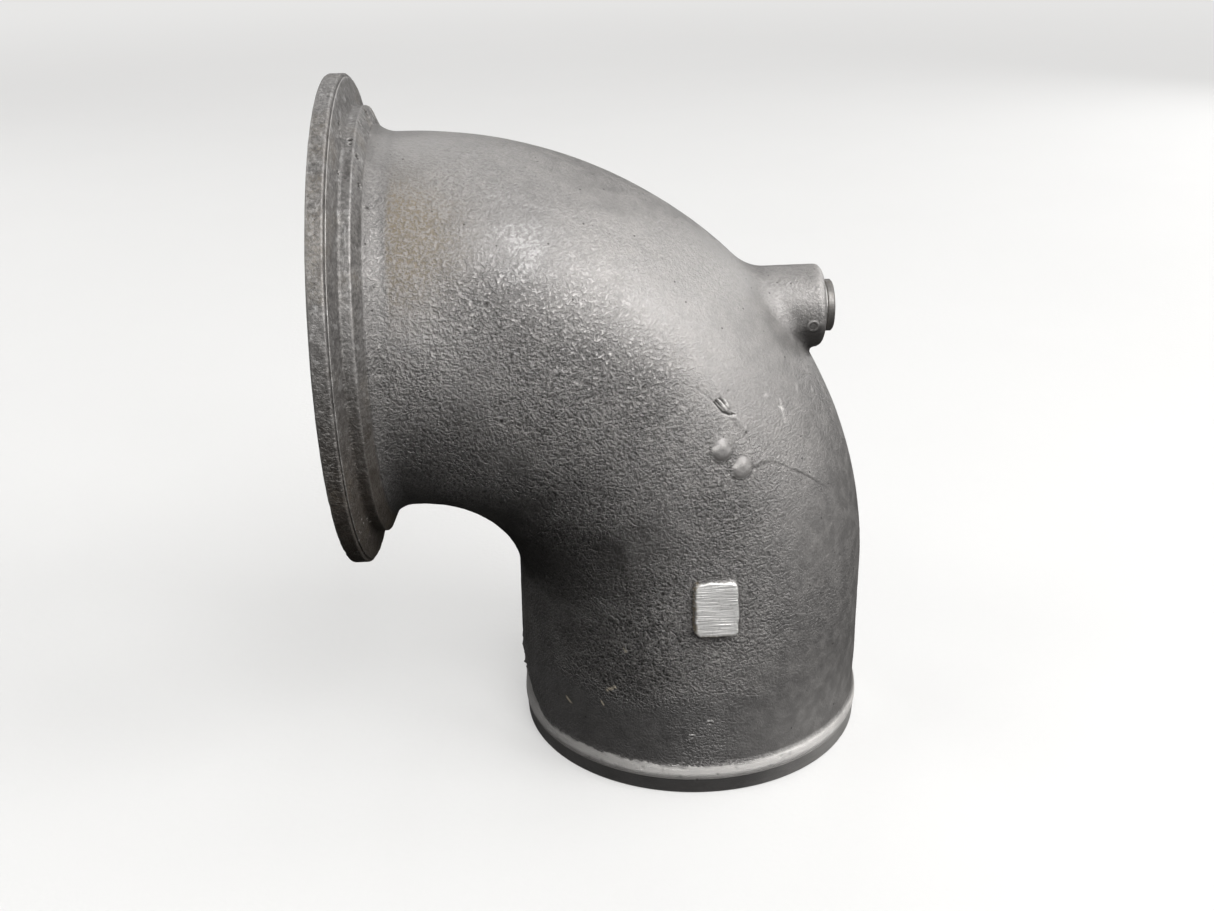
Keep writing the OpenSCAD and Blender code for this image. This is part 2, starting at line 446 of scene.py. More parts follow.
def boss_rings(edge):
    """Rings of points from the edge of the patch up the boss, over its face and down the
    port. edge holds the patch's edge points; ring n has one point for each of them."""
    y, z = edge[:, 1], edge[:, 2] - AXIS_Z
    far = np.hypot(y, z)
    cy, cz = y / far, z / far

    def on_skin(d):
        return side_x(d * cy, AXIS_Z + d * cz, skin_at_turn)

    def ring(d, x):
        d = np.broadcast_to(d, far.shape)
        return np.stack([np.broadcast_to(x, far.shape), d * cy, AXIS_Z + d * cz], axis=-1)

    fillet = (4.0 + 2.2 * cy ** 2 + 1.2 * cz) * MM
    foot = BOSS_R + fillet * (0.9 - 0.12 * cz)
    rings = [ring(mix(far, foot, t), on_skin(mix(far, foot, t)))
             for t in np.linspace(0, 1, 12)[1:]]
    root_x, foot_x = on_skin(BOSS_R + 0 * far), on_skin(foot)
    top_x = root_x + fillet
    for t in np.linspace(0, 1, 13)[1:]:
        d = (1 - t) ** 2 * foot + 2 * t * (1 - t) * BOSS_R + t ** 2 * BOSS_R
        x = (1 - t) ** 2 * foot_x + 2 * t * (1 - t) * root_x + t ** 2 * top_x
        rings.append(ring(d, x))
    shoulder = BOSS_FACE - BOSS_ROUND
    for t in np.linspace(0, 1, 22)[1:]:
        rings.append(ring(BOSS_R, np.minimum(mix(top_x, shoulder, t), shoulder)))
    for d, x in arc_points((BOSS_R - BOSS_ROUND, shoulder), BOSS_ROUND, 0, 90, 7)[1:]:
        rings.append(ring(d, x))
    mouth = PORT_R + PORT_BEVEL
    rings += [ring(d, BOSS_FACE) for d in spaced(BOSS_R - BOSS_ROUND, mouth, 0.6 * MM)]
    rings.append(ring(PORT_R, BOSS_FACE - PORT_BEVEL))
    inner_x = side_x(PORT_R * cy, AXIS_Z + PORT_R * cz, bore_at_turn)
    for t in np.linspace(0, 1, 16)[1:]:
        rings.append(ring(PORT_R, mix(BOSS_FACE - PORT_BEVEL, inner_x, t)))
    return np.array(rings), np.arctan2(z, y)


def profile_track(u, r, is_skin):
    """Distance run along the profile at each row, for the lathe's lines."""
    r = np.where(is_skin, SKIN_R_INLET, r)
    return np.concatenate([[0], np.cumsum(np.hypot(np.diff(u), np.diff(r)))])


def ring_track(rings):
    """Mean distance run from the first of several rings, at each of their points."""
    steps = np.linalg.norm(np.diff(rings, axis=0), axis=-1).mean(axis=1)
    return np.repeat(np.concatenate([[0], np.cumsum(steps)]), rings.shape[1])


def pipe_rows():
    """Station and radius of each row, and which rows are cast skin and bore. The skin's
    radius changes round the pipe, so its rows hold 0 here."""
    start, bore = inlet_rows(), bore_rows()
    skin = spaced(LAND_TOP - 1.2 * MM, LAND_TOP + 2.2 * MM, 0.22 * MM)
    skin += spaced(LAND_TOP + 2.2 * MM, 26 * MM, 0.42 * MM)
    skin += spaced(26 * MM, U_BEND, 0.55 * MM)
    skin += spaced(U_BEND, U_NECK, 0.36 * MM)
    rows = np.array(start + [(u, 0.0) for u in skin] + flange_rows() + bore)
    number = np.arange(len(rows))
    is_skin = (number >= len(start)) & (number < len(start) + len(skin))
    return rows[:, 0], rows[:, 1], is_skin, number >= len(rows) - len(bore)


def runs_up(angle):
    """Whether the angles of a closed ring rise along it."""
    return np.unwrap(angle)[-1] > angle[0]


def add_boss(shell, outer_ring, inner_ring):
    """The boss and its port, from the opening in the skin to the one in the bore."""
    points = np.concatenate(shell.points)
    rings, angle = boss_rings(points[outer_ring])
    ring_ids = np.concatenate([outer_ring[None], shell.add(rings)])
    shell.skin(ring_ids)
    inner = points[inner_ring]
    inner_angle = np.arctan2(inner[:, 2] - AXIS_Z, inner[:, 1])
    if runs_up(inner_angle) != runs_up(angle):
        inner_ring, inner_angle = inner_ring[::-1], inner_angle[::-1]
    shell.stitch(ring_ids[-1], angle, inner_ring, inner_angle)
    return rings


def casting_shell():
    """The casting's clean shape as vertices and faces, and the track of each vertex."""
    columns = column_angles()
    u, r, is_skin, is_bore = pipe_rows()
    grid_u, grid_a = np.meshgrid(u, columns, indexing="ij")
    grid_r = np.repeat(r[:, None], len(columns), axis=1)
    grid_r[is_skin] = inlet_radius(grid_u[is_skin], grid_a[is_skin])
    shell = Shell()
    ids = shell.add(place(grid_u, grid_a, grid_r))
    turn = (u - U_BEND) / BEND_R
    outer = (patch_range(np.where(is_skin, turn, -1), PATCH_LOW, PATCH_HIGH),
             patch_range(columns, -PATCH_AROUND, PATCH_AROUND))
    inner = (patch_range(np.where(is_bore, turn, -1), BORE_PATCH_LOW, BORE_PATCH_HIGH),
             patch_range(columns, -BORE_PATCH_AROUND, BORE_PATCH_AROUND))
    keep = np.ones(ids.shape, bool)
    for rows, cols in (outer, inner):
        keep[rows[0]:rows[1], cols[0]:cols[1]] = False
    shell.skin(ids, keep=keep, close_rows=True)
    rings = add_boss(shell, patch_ring(ids, *outer), patch_ring(ids, *inner))
    tracks = [np.repeat(profile_track(u, r, is_skin), len(columns)), ring_track(rings)]
    return shell, np.concatenate(tracks)


# ---------------------------------------------------------------- casting: cast surface


def unbend(points):
    """The pipe rolled out straight: station, angle round the pipe and distance from its
    centreline for each point."""
    x, y, z = points.T
    in_bend = (z > INLET_LEG) & (x > -BEND_R)
    past = (x <= -BEND_R) & (z > INLET_LEG)
    turn = np.arctan2(z - INLET_LEG, x + BEND_R)
    u = np.where(in_bend, U_BEND + BEND_R * turn, z)
    u = np.where(past, U_NECK - BEND_R - x, u)
    across = np.where(in_bend, np.hypot(x + BEND_R, z - INLET_LEG) - BEND_R, x)
    across = np.where(past, z - AXIS_Z, across)
    return u, np.arctan2(-y, across), np.hypot(y, across)


def spots(s, t, cell, chance, radius, seed):
    """Random round spots on a surface: 1 in the middle of each, 0 outside them."""
    base = np.stack([np.floor(s / cell), np.floor(t / cell), 0 * s], axis=-1).astype(np.int64)
    found = np.zeros_like(s)
    for step in ((i, j, 0) for i in (-1, 0, 1) for j in (-1, 0, 1)):
        cells = base + np.array(step)
        there = hashed(cells, seed) < chance
        mid_s = (cells[..., 0] + hashed(cells, seed + 1)) * cell
        mid_t = (cells[..., 1] + hashed(cells, seed + 2)) * cell
        size = radius * (0.5 + hashed(cells, seed + 3))
        d = np.hypot(s - mid_s, t - mid_t) / size
        found = np.maximum(found, np.where(there, np.clip(1 - d, 0, 1), 0))
    return found


class Surface:
    """Coordinates of the casting's vertices, in millimetres and degrees."""

    def __init__(self, points):
        u, around, r = unbend(points)
        self.x, self.y, self.z = points.T / MM
        self.u = u / MM
        self.r = r / MM
        self.angle = np.degrees(around)
        self.side = np.abs(self.angle)
        self.turn = np.degrees((u - U_BEND) / BEND_R)
        self.arc = around * SKIN_R_NECK / MM
        self.straight = np.stack([self.r * np.cos(around), self.r * np.sin(around), self.u], -1)
        self.from_port = np.hypot(self.y, self.z - AXIS)
        self.edge = turned_edge_height(around) / MM
        self.find_zones()

    def find_zones(self):
        self.port = ((self.from_port < (PORT_R + PORT_BEVEL) / MM + 0.2) & (self.x > 20)) * 1.0
        self.bore = ((self.r < BORE_R / MM + 0.3) & (self.port < 1)) * 1.0
        outside = 1 - self.bore
        soften = mix(1.1, 0.2, smooth(self.angle, 78, 90))
        inlet = (1 - smooth(self.u, self.edge - soften, self.edge + 0.25)) * outside
        flange = smooth(self.u, NECK + 7.0, NECK + 7.6) * outside
        front = BOSS_FACE / MM
        boss = smooth(self.x, front - 0.2, front - 0.05) * (self.from_port < 9.2)
        self.flange = flange
        self.turned = np.clip(inlet + boss + self.port, 0, 1)
        self.cast = np.clip(1 - self.turned - flange - self.bore, 0, 1)

    def near(self, u, angle):
        """Offsets in millimetres from a place on the skin: along the pipe and round it."""
        stretch = 1.0
        if U_BEND / MM < u < NECK:
            stretch = 1 + SKIN_R_NECK / BEND_R * math.cos(math.radians(angle))
        round_it = (self.angle - angle) * math.radians(1) * SKIN_R_NECK / MM
        return (self.u - u) * stretch, round_it


def at(turn, angle):
    """A place on the bend: its station in millimetres, and the angle round the pipe."""
    return (U_BEND + math.radians(turn) * BEND_R) / MM, angle


def wrinkles(s):
    """Orange-peel skin left by the sand mould, flatter along the pipe than round it."""
    stretched = s.straight / np.array([1.9, 1.9, 1.05])
    drift = np.stack([noise(s.straight, 5.0, 31 + k) for k in range(3)], axis=-1)
    first = noise(stretched + 0.5 * drift, 1.0, 21)
    second = noise(s.straight / np.array([1.0, 1.0, 0.85]) + 0.4 * drift, 1.0, 22)
    return 0.6 * first + 0.5 * second


def past_inner_side(angle):
    """The angle running on past the pipe's inner side, from -110 to 250 degrees."""
    return np.where(angle < -110, angle + 360, angle)


def skin_strength(s):
    """How rough the cast skin is: smoother towards the outer side and above the land."""
    angle = past_inner_side(s.angle)
    front = smooth(angle + 0.2 * (s.turn - 40), 49, 78) * smooth(angle, 245, 190)
    front = np.maximum(front, 0.75 * smooth(s.turn, 72, 86) * smooth(s.angle, 15, 40))
    front *= 1 - 0.35 * smooth(angle, 120, 170)
    patchy = 0.8 + 0.4 * noise(s.straight, 17.0, 41)
    band = 1 - 0.5 * smooth(s.u, 34, 25) * smooth(s.u, 8, 11)
    neck = 1 - 0.2 * smooth(s.u, 160, 172)
    coarse = 1 + 0.7 * bump_at(s.u, 44, 26) * bump_at(s.angle, 108, 36)
    return mix(0.40, 1.0, front) * patchy * band * neck * coarse


def skin_relief(s):
    """Height of the rough cast skin above the clean shape, in millimetres."""
    broad = 0.13 * noise(s.straight, 27.0, 11) + 0.05 * noise(s.straight, 9.0, 12)
    lumps = 0.045 * noise(s.straight, 4.2, 13)
    peel = 0.085 * wrinkles(s) * skin_strength(s)
    pits = 0.12 * spots(s.arc, s.u, 9.0, 0.14, 0.7, 51) ** 0.5
    beads = 0.08 * spots(s.arc, s.u, 11.0, 0.25, 0.7, 61) ** 0.5
    return broad + lumps + peel - pits + beads


DOTS = (at(33.8, 66.9), at(29.4, 64.9))
DOT_R = 3.1
DOT_RISE = 0.95


def dot_relief(s):
    """Two small domes: crisp below and to the rear, running out into the skin above."""
    total = 0
    for dot in DOTS:
        along, round_it = s.near(*dot)
        uphill = (along - round_it) * math.sqrt(0.5)
        sideways = (along + round_it) * math.sqrt(0.5)
        stretch = np.where(uphill > 0, 0.72, 1.0)
        d = np.hypot(uphill * stretch, sideways) / DOT_R
        dome = np.sqrt(np.clip(1 - d ** 3, 0, 1))
        soft = smooth(1.12 - d, 0, 1) * 1.05
        total = np.maximum(total, mix(dome, soft, smooth(uphill, -0.4, 1.4)) * DOT_RISE)
    return total


LEDGE_ANGLES = (30, 41.6, 49.7, 53.9, 56.9, 61.9, 64)
LEDGE_TURNS = (13.0, 19.3, 23.9, 26.5, 27.6, 28.5, 28.6)


def ledge_relief(s):
    """The mould line: a low step that runs from the lower dome towards the outer side."""
    line = np.interp(s.angle, LEDGE_ANGLES, LEDGE_TURNS)
    above = (s.turn - line) * math.radians(1) * (BEND_R + SKIN_R_NECK * 0.5) / MM
    along = smooth(s.angle, 34, 44) * smooth(s.angle, 66, 61)
    step = smooth(above, -0.7, 0.6) * np.exp(-np.maximum(above, 0) / 3.5)
    groove = np.exp(-((above + 0.6) / 0.4) ** 2)
    wobble = 0.8 + 0.4 * noise(s.straight, 3.0, 45)
    return (0.34 * step - 0.05 * groove) * along * wobble


def stroke(s, start, end, width):
    """1 along the middle of a straight stroke between two places on the skin, 0 outside."""
    a0, r0 = s.near(*start)
    a1, r1 = s.near(*end)
    da, dr = a0 - a1, r0 - r1
    t = np.clip((a0 * da + r0 * dr) / (da ** 2 + dr ** 2), 0, 1)
    return np.clip(1 - np.hypot(a0 - t * da, r0 - t * dr) / width, 0, 1)


def strokes(s, marks):
    """The deepest of several strokes, each given as start, end and half width."""
    total = 0
    for start, end, width in marks:
        total = np.maximum(total, stroke(s, start, end, width))
    return total


SCAR_CRACKS = (
    (at(40.0, 59.3), at(38.0, 59.5), 0.42),
    (at(38.0, 59.5), at(36.9, 58.3), 0.42),
    (at(36.9, 58.3), at(36.5, 57.0), 0.36),
    (at(39.9, 58.5), at(38.7, 58.5), 0.34),
    (at(39.6, 57.3), at(38.6, 57.2), 0.34),
)
SCAR_FLAKES = (
    (at(39.4, 58.0), at(37.9, 58.1), 0.5),
    (at(38.9, 56.7), at(37.9, 57.0), 0.5),
)
SCAR_RIDGE = ((at(36.5, 57.6), at(33.6, 57.0), 1.4),)
SCAR_TAIL = ((at(43.2, 60.2), at(40.4, 59.4), 0.4),)
SCRATCHES = (
    (at(32.4, 40.6), at(31.2, 42.4), 0.26),
    (at(32.0, 42.8), at(30.9, 41.2), 0.24),
    (at(31.1, 42.2), at(29.6, 43.8), 0.26),
)
TICKS = (
    (at(31.3, 30.4), at(31.0, 31.8), 0.40),
    (at(29.0, 22.2), at(28.6, 23.8), 0.40),
    (at(34.7, 45.2), at(34.5, 43.8), 0.36),
)
LEFT_MARKS = (
    (at(84.6, 96.6), at(83.0, 95.8), 0.5),
    (at(72.4, 123.4), at(71.0, 122.4), 0.5),
    (at(79.0, 108.0), at(78.0, 106.6), 0.4),
)
LIPS = ((23.9, 89.2, 1.3), (19.4, 94.8, 1.1), (45.1, 87.5, 1.2))
PIN_HOLES = (at(69.5, 97.7), at(76.8, 66.0), at(12.0, 102.0), at(50.0, 70.0))


def scar_relief(s):
    """A small torn flake in the skin above the domes, with a soft ridge below it."""
    ridge = smooth(strokes(s, SCAR_RIDGE), 0, 1)
    cracks = 0.5 * strokes(s, SCAR_CRACKS) + 0.12 * strokes(s, SCAR_TAIL)
    return 0.3 * strokes(s, SCAR_FLAKES) - cracks + 0.2 * ridge


def scratch_relief(s):
    """Thin crossed scratches and small nicks towards the outer side."""
    return -0.16 * strokes(s, SCRATCHES) - 0.14 * strokes(s, TICKS) - 0.16 * strokes(s, LEFT_MARKS)


def lip_relief(s):
    """Short curved lips of metal on the lower skin, each with a groove under it."""
    total = 0
    for u, angle, half in LIPS:
        along, round_it = s.near(u, angle)
        within = smooth(1 - np.abs(round_it) / half, 0, 0.5)
        height = along + 0.5 * (round_it / half) ** 2
        lip = np.exp(-((height - 0.3) / 0.32) ** 2) - np.exp(-((height + 0.35) / 0.32) ** 2)
        total = total + 0.32 * within * lip
    return total


def pin_hole_relief(s):
    """A few larger round holes in the cast skin."""
    total = 0
    for hole in PIN_HOLES:
        along, round_it = s.near(*hole)
        total = total - 0.55 * smooth(1 - np.hypot(along, round_it) / 1.1, 0, 1)
    return total


PAD_X = 2.1
PAD_Z = 60.2
PAD_W = 12.8
PAD_H = 18.0
PAD_CORNER = 2.6
PAD_Y = -52.3
PAD_TILT = 0.07


def pad_cover(s):
    """1 on the raised pad on the front, 0 outside it: rounded corners, softer at the top."""
    dx = np.abs(s.x - PAD_X) - (PAD_W / 2 - PAD_CORNER)
    dz = np.abs(s.z - PAD_Z) - (PAD_H / 2 - PAD_CORNER)
    outside = np.hypot(np.maximum(dx, 0), np.maximum(dz, 0)) + np.minimum(np.maximum(dx, dz), 0)
    ragged = 0.20 * noise(s.straight, 2.6, 71) + 0.08 * noise(s.straight, 1.0, 72)
    soften = mix(1.0, 2.2, smooth(s.z, PAD_Z + PAD_H / 2 - 3.5, PAD_Z + PAD_H / 2))
    cover = smooth((outside - PAD_CORNER + ragged) / soften, 0, -1)
    return cover * (s.y < -30) * (1 - s.bore)


def pad_relief(s):
    """Height that takes the skin out to the pad's flat filed face."""
    flat = -s.y
    face = -PAD_Y - PAD_TILT * (s.z - PAD_Z)
    rise = np.clip((face - flat) / np.maximum(-s.y / s.r, 0.2), 0, 4)
    file_marks = 0.02 * noise(np.stack([s.x / 9, 0 * s.x, s.z / 0.8], -1), 1.0, 73)
    edge_wear = 0.12 * noise(s.straight, 1.3, 74)
    cover = pad_cover(s)
    return cover * (rise + file_marks + edge_wear * smooth(1 - cover, 0, 0.6))


RING_MARK = (33.2, -11.35, 125.2)


def ring_mark_relief(s):
    """A small ring cast into the underside of the boss."""
    d = np.sqrt((s.x - RING_MARK[0]) ** 2 + (s.y - RING_MARK[1]) ** 2 + (s.z - RING_MARK[2]) ** 2)
    broken = 0.6 + 0.7 * noise(s.straight, 1.4, 46)
    return 0.36 * broken * np.exp(-((d - 1.45) / 0.36) ** 2)


# Pores in the flange: distance back from the outlet face, distance from the pipe's
# centreline, angle round it, and half width
PORES = (
    (10.1, 57.1, -3.8, 1.1),
    (11.2, 54.9, -7.4, 1.0),
    (5.7, 61.6, 19.5, 0.9),
    (6.1, 60.6, 21.5, 0.7),
    (8.2, 58.7, 21.4, 0.9),
    (8.6, 58.7, 23.2, 0.7),
    (10.2, 56.8, 26.1, 0.9),
    (11.0, 55.2, 34.9, 0.7),
    (6.3, 59.5, 34.5, 0.7),
    (12.7, 52.6, 40.5, 0.6),
)


def pores(s):
    """1 in the middle of each pore of the flange, 0 outside them."""
    total = 0
    for back, r, angle, half in PORES:
        y = -r * math.sin(math.radians(angle))
        z = AXIS + r * math.cos(math.radians(angle))
        d = np.sqrt((s.x - OUTLET_X / MM - back) ** 2 + (s.y - y) ** 2 + (s.z - z) ** 2)
        uneven = half * (1 + 0.5 * noise(s.straight, 0.9, 47))
        total = np.maximum(total, np.clip(1 - d / uneven, 0, 1))
    return total


def flange_relief(s):
    """Corroded machined flange: a few nicks, and pores in the shoulder near the top."""
    low = smooth(s.side, 95, 140)
    rim = smooth(s.r, 64, 66.5)
    nicks = np.clip(noise(s.straight, 2.6, 83) - 0.42, 0, 1)
    chips = np.clip(noise(s.straight, 1.9, 84) - 0.1, 0, 1)
    crown = smooth(np.abs(s.angle + 3), 24, 9) * bump_at(s.u, END - 10.6, 1.8)
    wear = 0.04 * noise(s.straight, 3.2, 82) - (0.08 + 0.25 * rim * low + 0.12 * low) * nicks
    return wear - 1.1 * chips * crown - 0.7 * smooth(pores(s), 0, 0.6)


def turned_relief(s):
    """Turned ends: a few dings in an otherwise true surface."""
    dings = spots(s.arc, s.u, 9.0, 0.3, 0.7, 91) ** 0.5
    burr = np.exp(-((s.u - s.edge) / 0.35) ** 2) * noise(s.straight, 1.6, 92)
    return 0.012 * noise(s.straight, 1.0, 93) - 0.14 * dings + 0.1 * np.clip(burr, 0, 1)


def left_burr_relief(s):
    """Torn metal standing out where the lathe ran up into the skin on the inner side."""
    side = smooth(s.side, 158, 172)
    at_edge = np.exp(-((s.u - s.edge - 0.3) / 0.9) ** 2)
    torn = np.clip(noise(s.straight, 1.5, 101) + 0.25, 0, 1)
    return 0.75 * side * at_edge * torn


def dress_casting(points, quads, triangles):
    """Gives the clean casting its cast and turned surfaces and returns its points,
    their coordinates on the clean shape, and where the pad is."""
    normals = vertex_normals(points, quads, triangles)
    s = Surface(points)
    pad = pad_cover(s)
    dots = dot_relief(s)
    level = (1 - 0.97 * pad) * (1 - 0.8 * smooth(dots, 0.1, 0.6))
    skin = skin_relief(s) * level + dots + ledge_relief(s)
    skin += scar_relief(s) + scratch_relief(s) + ring_mark_relief(s) + lip_relief(s)
    skin += pin_hole_relief(s)
    bore = 0.12 * noise(s.straight, 20.0, 111) + 0.06 * noise(s.straight, 3.0, 112)
    height = s.cast * skin + s.flange * flange_relief(s) + s.bore * bore
    height += s.turned * (1 - s.port) * turned_relief(s) + left_burr_relief(s) * (1 - s.bore)
    height += pad_relief(s)
    open_edge = smooth(s.x, BOSS_FACE / MM - 1.2, BOSS_FACE / MM - 0.5) * (s.from_port < 15)
    height *= 1 - open_edge
    return points + normals * height[:, None] * MM, s, pad


def curvature(points, normals, quads):
    """How sharply the surface bulges at each vertex: positive on edges, negative in creases."""
    total = np.zeros_like(points)
    square = np.zeros(len(points))
    count = np.zeros(len(points))
    for k in range(4):
        a, b = quads[:, k], quads[:, (k + 1) % 4]
        step = points[b] - points[a]
        size = (step ** 2).sum(axis=1)
        for ends, way in ((a, 1), (b, -1)):
            total += gathered(ends, way * step, len(points))
            square += np.bincount(ends, size, len(points))
            count += np.bincount(ends, minlength=len(points))
    count = np.maximum(count, 1)
    sag = -(total * normals).sum(axis=1) / count
    return 2 * sag / np.maximum(square / count, 1e-12)


# Clouds on the skin: centre, half length along the pipe, half width round it, share
RUST_NECK = (at(90.5, 49.0), 9.5, 15.0, 1.7)
# Painted light: lighter clouds where the skin's broad highlight and brighter lit areas are
PAINTED_LIGHT_CLOUDS = (
    (at(84.0, 78.0), 12.0, 14.0, 0.26),
    (at(61.0, 58.0), 20.0, 11.0, 0.15),
    (at(44.0, 24.0), 24.0, 14.0, 0.12),
    (at(-25.6, 50.0), 9.0, 26.0, 0.34),
)
FROST = at(74.6, 45.5)
# Pale flakes: start, end and half width, with stations in millimetres
SPECKS = (
    ((30.7, 122.6), (31.6, 121.4), 0.36),
    ((31.4, 121.5), (32.0, 120.4), 0.32),
    ((32.1, 120.3), (32.7, 119.3), 0.34),
    ((26.5, 124.6), (25.6, 123.8), 0.34),
    ((22.8, 139.0), (21.9, 137.4), 0.5),
    ((45.4, 116.0), (45.0, 115.6), 0.36),
)


def cloud_cover(s, centre, half_length, half_width, share):
    """A soft oval cloud on the skin, as strong as share in its middle."""
    along, round_it = s.near(*centre)
    return share * np.exp(-(along / half_length) ** 2 - (round_it / half_width) ** 2)


def zone_masks(s, pad):
    """The kinds of surface, how rough the cast skin is, and painted shade on the lead and on the
    inner side of the turned surfaces.
    """
    lead = smooth(s.u, LAND_BOTTOM / MM + 0.3, LAND_BOTTOM / MM - 0.2) * (1 - s.bore)
    smooth_spots = np.maximum(pad, smooth(dot_relief(s), 0.1, 0.5))
    return {
        "turned": s.turned,
        "flange": s.flange,
        "bore": s.bore,
        # Painted shade on the down-facing lead, lighter towards the outer side
        "lead": lead * mix(0.62, 1.0, smooth(s.side, 38, 84)),
        "filed": smooth(pad, 0.8, 0.98),
        "rough": np.clip(skin_strength(s), 0, 1.5) * s.cast * (1 - smooth_spots),
        "dull": smooth(s.u, NECK - 1, NECK + 6) * s.cast,
        # Painted shade on the turned surfaces of the inner side, away from the main lamps
        "sooty": s.turned * smooth(s.side, 104, 160) * (1 - s.flange),
    }


def flange_masks(s):
    """Marks on the flange: pores, painted glints on the cone, painted glints in flecks on the rim,
    and a darker, browner lower side.
    """
    crown = 0.15 + 0.85 * smooth(s.side, 70, 15)
    angle = past_inner_side(s.angle)
    return {
        "pores": s.flange * bump_at(s.u, NECK + 10.8, 3.4) * crown,
        # Painted glints: bright specks on the lower cone
        "glint": s.flange * bump_at(s.u, END - 5.5, 3.0) * bump_at(s.angle, 134, 16),
        # Painted glints in flecks on the lower rim
        "fleck": s.flange * smooth(s.r, 65.5, 66.8) * bump_at(s.side, 104, 22),
        # Darker, browner and mottled towards the bottom of the flange
        "low": s.flange * smooth(angle, 70, 130) * smooth(angle, 245, 190),
        "shoulder": s.flange * bump_at(s.u, END - 8.0, 1.9),
        # Painted shade in the pore holes of the flange
        "hole": smooth(pores(s), 0.0, 0.3),
    }


def mark_masks(s):
    """Painted shade in the cracks, flakes of dirt, and metal laid bare by scratches."""
    marks = 0.5 * strokes(s, SCRATCHES) + 0.3 * strokes(s, TICKS)
    marks += 0.45 * smooth(lip_relief(s), 0.05, 0.2) + 0.3 * strokes(s, SCAR_FLAKES)
    return {
        # Painted shade in the cracks
        "crack": smooth(strokes(s, SCAR_CRACKS), 0.1, 0.6),
        "worn": np.clip(marks, 0, 1) * s.cast,
        "speck": smooth(strokes(s, SPECKS), 0.05, 0.4) * s.cast,
    }


def stain_masks(s, pad, cloud):
    """Rust at the neck, dirt beside the pad, the white bloom with painted shade over it, the
    painted light clouds, and painted shade low on the inlet leg.
    """
    rust = cloud_cover(s, *RUST_NECK) * smooth(cloud, -1.2, 0.1)
    rust *= smooth(s.u, NECK + 2.5, NECK + 0.5) * s.cast
    low_or_left = np.minimum(s.x - PAD_X + PAD_W / 2, s.z - PAD_Z + PAD_H / 2)
    flank = smooth(pad, 0.02, 0.2) * smooth(low_or_left + 0.8 * cloud, 2.2, 0.6)
    along, round_it = s.near(*FROST)
    patch = np.exp(-((along + 0.15 * round_it) / 11.0) ** 2 - (round_it / 16.0) ** 2)
    bite = smooth(fractal(s.straight, 4.0, 4, 131) + 0.8 * patch, 0.1, 0.9)
    # Painted light clouds
    pale = np.max([cloud_cover(s, *values) for values in PAINTED_LIGHT_CLOUDS], axis=0)
    return {
        "rust": np.clip(rust + s.flange * smooth(cloud, 0.0, 0.6) * 0.35, 0, 1),
        "dirt": flank * (s.y < -30),
        "frost": np.clip(patch * 1.1, 0, 1) * bite * 0.6,
        "shade": np.clip(patch * 1.4, 0, 1),
        # Painted light
        "pale": pale * s.cast,
        # Painted shade: darker low on the inlet leg, weakest on the outer side
        "band": smooth(s.u + 2 * cloud, 36, 26) * s.cast * mix(0.2, 1.0, smooth(s.side, 50, 92)),
    }


def soot(s, cloud, shadow_under_boss):
    """Painted shade: darker skin on the inner bend, under the boss and the neck, and low on the
    outer side.
    """
    inner_bend = smooth(s.side + 9 * cloud, 84, 128) * smooth(s.u, 150, 105)
    streak = smooth(s.side + 3 * cloud, 107, 113) * bump_at(s.u, at(26, 0)[0], 26)
    under_neck = smooth(s.side + 7 * cloud, 88, 112) * smooth(s.u, 136, 158)
    outer_side = smooth(s.angle + 6 * cloud, 42, 12) * smooth(s.angle, -60, -20)
    outer_side *= smooth(s.u, 95, 60)
    shade = np.max([inner_bend + 0.5 * streak, 1.3 * shadow_under_boss, 0.5 * under_neck,
                    0.45 * outer_side], axis=0)
    return np.clip(shade * (0.8 + 0.4 * cloud), 0, 1) * s.cast


def casting_masks(points, normals, quads, s, pad):
    """Where each kind of surface, stain, painted light and painted shade is, as numbers from 0 to 1
    on the vertices.
    """
    bulge = curvature(points, normals, quads) * MM * 0.9
    cloud = fractal(s.straight, 9.0, 3, 121)
    # Painted shadow under the boss
    shadow_under_boss = smooth(s.z + 1.5 * cloud, AXIS - 0.5, AXIS - 4.5)
    shadow_under_boss *= smooth(s.from_port, 15, 12) * smooth(s.x, 19, 26)
    return {
        **zone_masks(s, pad), **flange_masks(s), **mark_masks(s), **stain_masks(s, pad, cloud),
        # Painted shade on the inner bend, under the boss and the neck, and low on the outer side
        "soot": soot(s, cloud, shadow_under_boss),
        # Worn edges with a painted highlight along them, held back in the painted shadow under the
        # boss; the next mask is painted shade in creases
        "edge": np.clip(bulge, 0, 1) * (1 - 0.75 * shadow_under_boss),
        "crease": np.clip(-bulge, 0, 1),
    }


# ---------------------------------------------------------------- materials


def share_level(share):
    """Level that the mean of three random numbers stays under in a small share of cases."""
    return (6 * share) ** (1 / 3) / 3


class Field:
    """A value in a node material that adds, multiplies and compares like a number."""

    def __init__(self, paint, socket):
        self.paint = paint
        self.socket = socket

    def __add__(self, other):
        return self.paint.math("ADD", self, other)

    def __sub__(self, other):
        return self.paint.math("SUBTRACT", self, other)

    def __rsub__(self, other):
        return self.paint.math("SUBTRACT", other, self)

    def __mul__(self, other):
        return self.paint.math("MULTIPLY", self, other)

    def __or__(self, other):
        """The larger of the two."""
        return self.paint.math("MAXIMUM", self, other)


